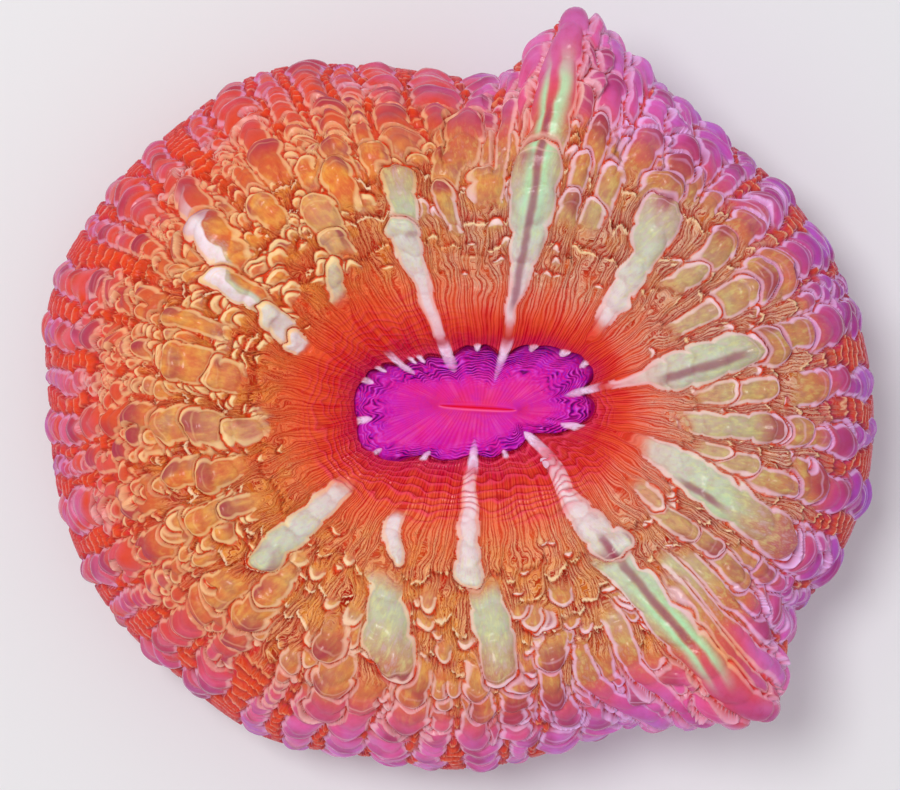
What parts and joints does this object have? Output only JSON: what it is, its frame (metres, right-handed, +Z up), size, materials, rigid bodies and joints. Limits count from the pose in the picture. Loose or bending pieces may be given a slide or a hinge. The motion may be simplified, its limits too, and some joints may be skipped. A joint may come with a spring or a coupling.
{
  "type": "button coral",
  "caption": "Large single-polyp stony coral, swollen flesh around a sunken oval mouth disc, with radial folds, lobed flanks and a flat cut base.",
  "frame": {"origin": "on the flat cut base, below the middle of the coral seen from above", "axes": "+Z up out of the mouth disc, +X along the mouth slit and the coral's longest direction"},
  "size_m": [0.1215, 0.1075, 0.0492],
  "materials": {
    "flesh": "wet soft flesh: orange and gold pleats, red collar, violet and pink mouth disc, lilac lobes, glossy"
  },
  "bodies": {
    "root": {"polyp": "flesh"}
  },
  "joints": []
}
